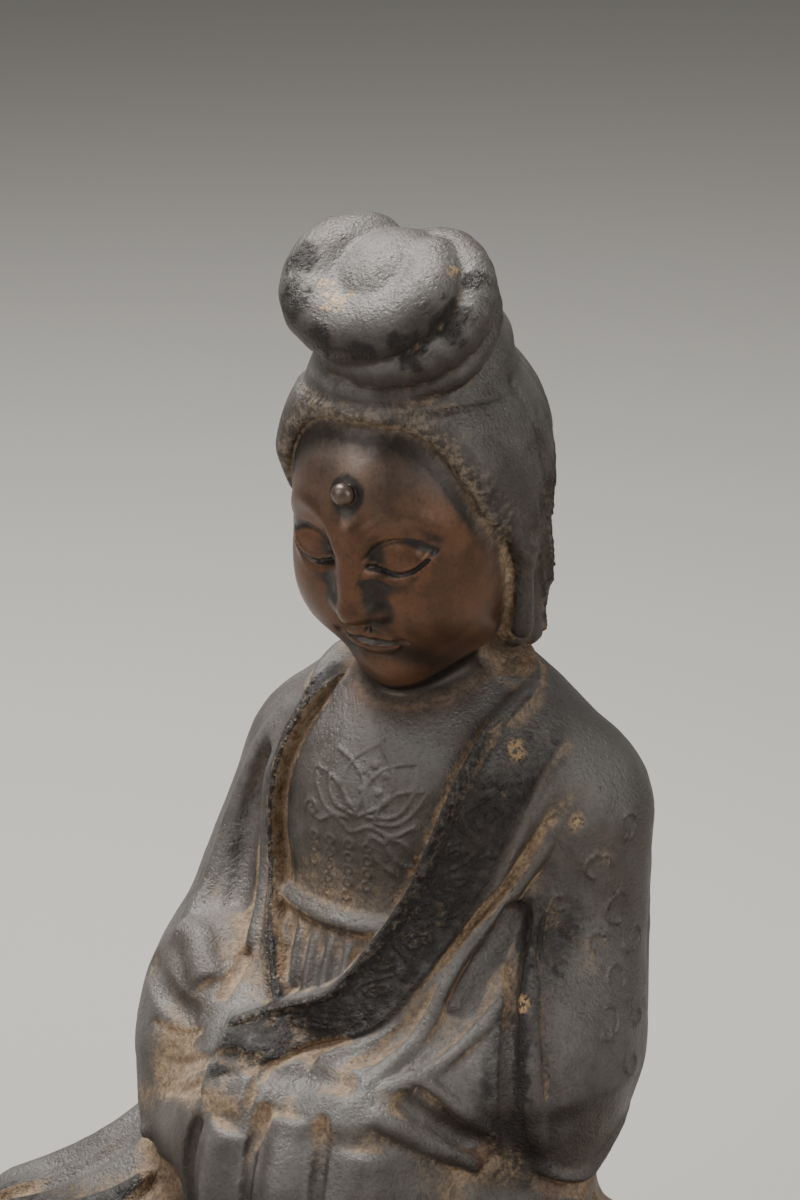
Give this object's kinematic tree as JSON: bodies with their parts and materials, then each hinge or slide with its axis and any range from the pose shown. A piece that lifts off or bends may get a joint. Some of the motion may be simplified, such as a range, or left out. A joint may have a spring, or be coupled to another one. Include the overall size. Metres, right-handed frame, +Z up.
{
  "type": "seated guanyin figure",
  "caption": "Cast bronze bodhisattva seated cross-legged on a low oval base, hair in a big topknot, open robe with long hanging sleeves, hands covered by the cloth.",
  "frame": {"origin": "middle of the underside of the base", "axes": "+Z up, -Y the way the figure faces, +X to the figure's left hand"},
  "size_m": [0.233, 0.147, 0.2778],
  "materials": {
    "bronze": "dark grey-brown patina, worn to brown bronze on the face, tan dust in the folds"
  },
  "bodies": {
    "root": {"guanyin_figure": "bronze"}
  },
  "joints": []
}
